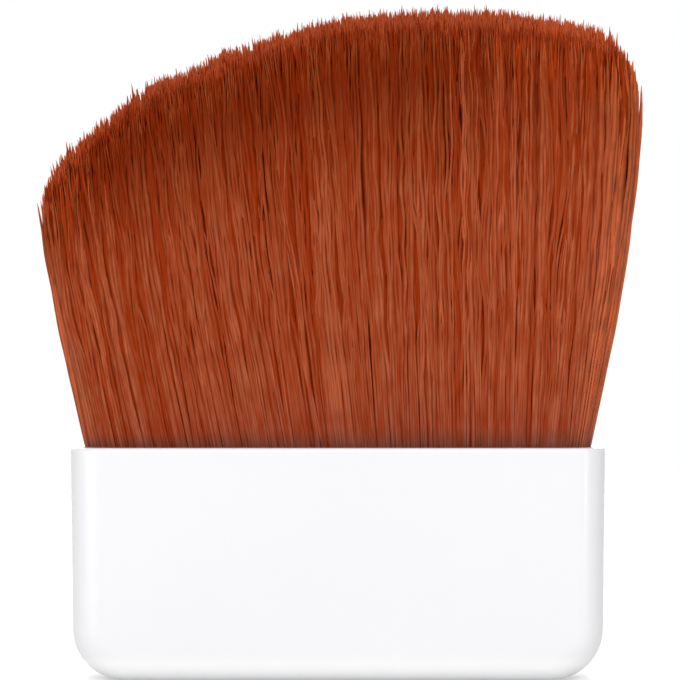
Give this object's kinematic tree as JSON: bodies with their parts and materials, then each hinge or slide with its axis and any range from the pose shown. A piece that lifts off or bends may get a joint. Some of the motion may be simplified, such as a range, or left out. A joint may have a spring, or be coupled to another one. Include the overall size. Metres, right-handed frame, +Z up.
{
  "type": "makeup brush",
  "caption": "Compact powder brush: wide flat hollow plastic handle with rounded foot corners, holding a dense slanted and domed tuft of auburn synthetic bristles.",
  "frame": {"origin": "centre of the handle's flat foot, on which the brush stands", "axes": "+Z up the handle to the bristle tips, +X across the handle towards the taller side of the slanted tuft, which is to the right seen from the front, and -Y out of the front face"},
  "size_m": [0.0473, 0.0104, 0.0532],
  "materials": {
    "handle_plastic": "gloss",
    "adhesive": "satin",
    "ferrule_metal": "satin",
    "resin": "gloss",
    "bristles": "satin"
  },
  "bodies": {
    "root": {"handle_shell": "handle_plastic", "adhesive_bead": "adhesive", "tuft_ferrule": "ferrule_metal", "root_resin": "resin", "bristle_tuft": "bristles"}
  },
  "joints": []
}
